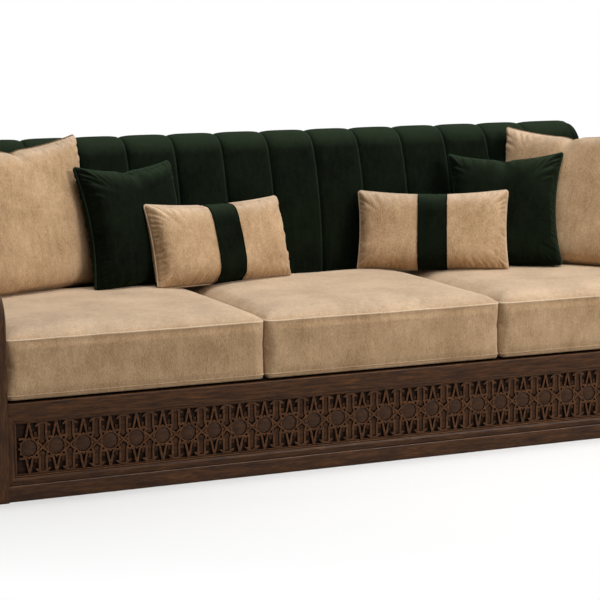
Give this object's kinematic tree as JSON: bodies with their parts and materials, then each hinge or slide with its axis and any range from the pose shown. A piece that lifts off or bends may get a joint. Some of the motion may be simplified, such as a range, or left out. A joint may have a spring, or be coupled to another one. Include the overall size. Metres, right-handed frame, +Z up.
{
  "type": "restaurant booth",
  "caption": "Long upholstered booth bench: fluted velvet back, loose seat cushions and throw pillows, walnut base with a carved star lattice, bentwood arms.",
  "frame": {"origin": "middle of the footprint, on the floor", "axes": "+X runs to the right along the seat, +Y to the rear, +Z up"},
  "size_m": [2.339, 0.917, 0.8899],
  "materials": {
    "walnut": "satin lacquered walnut",
    "walnut_shaded": "satin, darker ground behind the carving",
    "plywood": "raw plywood and softwood",
    "green_velvet": "dark green velvet",
    "tan_velvet": "tan velvet with a soft nap",
    "black_cloth": "thin spun cloth",
    "deck_pad": "padded lining",
    "elastic": "woven elastic",
    "steel": "zinc plated"
  },
  "bodies": {
    "frame": {"front_rail": "walnut", "plinth_skirt": "walnut", "moulding_top": "walnut", "moulding_bottom": "walnut", "moulding_left": "walnut", "moulding_right": "walnut", "panel_backing": "walnut_shaded", "lattice_relief": "walnut_shaded", "star_lattice": "walnut", "star_medallions": "walnut", "front_apron": "plywood", "rear_apron": "walnut", "end_apron_left": "plywood", "end_apron_right": "plywood", "cross_rail_left": "plywood", "cross_rail_right": "plywood", "centre_leg_left": "plywood", "centre_leg_right": "plywood", "rear_seat_rail": "plywood", "corner_blocks": "plywood", "dust_cover": "black_cloth", "webbing_across": "elastic", "webbing_along": "elastic", "seat_deck": "deck_pad", "back_stile_1": "plywood", "back_stile_2": "plywood", "back_stile_3": "plywood", "back_stile_4": "plywood", "back_top_rail": "plywood", "back_board": "plywood", "fluted_back": "green_velvet", "back_end_left": "green_velvet", "back_end_right": "green_velvet", "outside_back": "green_velvet", "arm_frame_left": "walnut", "arm_frame_right": "walnut", "arm_sill_left": "walnut", "arm_sill_right": "walnut", "arm_inner_left": "walnut", "arm_inner_right": "walnut", "arm_outer_left": "walnut", "arm_outer_right": "walnut", "arm_bolts": "steel", "arm_nuts": "steel"},
    "seat_cushion_left": {"seat_cushion_left": "tan_velvet"},
    "seat_cushion_middle": {"seat_cushion_middle": "tan_velvet"},
    "seat_cushion_right": {"seat_cushion_right": "tan_velvet"},
    "tan_pillow_left": {"tan_pillow_left": "tan_velvet"},
    "tan_pillow_right": {"tan_pillow_right": "tan_velvet"},
    "green_pillow_left": {"green_pillow_left": "green_velvet"},
    "green_pillow_right": {"green_pillow_right": "green_velvet"},
    "lumbar_pillow_left": {"lumbar_left": "tan_velvet", "lumbar_band_left": "green_velvet"},
    "lumbar_pillow_right": {"lumbar_right": "tan_velvet", "lumbar_band_right": "green_velvet"}
  },
  "joints": [
    {"name": "left_cushion_pull", "type": "slide", "parent": "frame", "child": "seat_cushion_left", "axis": [0, -1, 0], "range_m": [0, 0.35]},
    {"name": "middle_cushion_pull", "type": "slide", "parent": "frame", "child": "seat_cushion_middle", "axis": [0, -1, 0], "range_m": [0, 0.35]},
    {"name": "right_cushion_pull", "type": "slide", "parent": "frame", "child": "seat_cushion_right", "axis": [0, -1, 0], "range_m": [0, 0.35]},
    {"name": "tan_lift_left", "type": "slide", "parent": "frame", "child": "tan_pillow_left", "axis": [0, -0.7071, 0.7071], "range_m": [0, 0.25]},
    {"name": "green_lift_left", "type": "slide", "parent": "tan_pillow_left", "child": "green_pillow_left", "axis": [0, -0.7071, 0.7071], "range_m": [0, 0.25]},
    {"name": "lumbar_lift_left", "type": "slide", "parent": "green_pillow_left", "child": "lumbar_pillow_left", "axis": [0, -0.7071, 0.7071], "range_m": [0, 0.25]},
    {"name": "tan_lift_right", "type": "slide", "parent": "frame", "child": "tan_pillow_right", "axis": [0, -0.7071, 0.7071], "range_m": [0, 0.25]},
    {"name": "green_lift_right", "type": "slide", "parent": "tan_pillow_right", "child": "green_pillow_right", "axis": [0, -0.7071, 0.7071], "range_m": [0, 0.25]},
    {"name": "lumbar_lift_right", "type": "slide", "parent": "green_pillow_right", "child": "lumbar_pillow_right", "axis": [0, -0.7071, 0.7071], "range_m": [0, 0.25]}
  ]
}
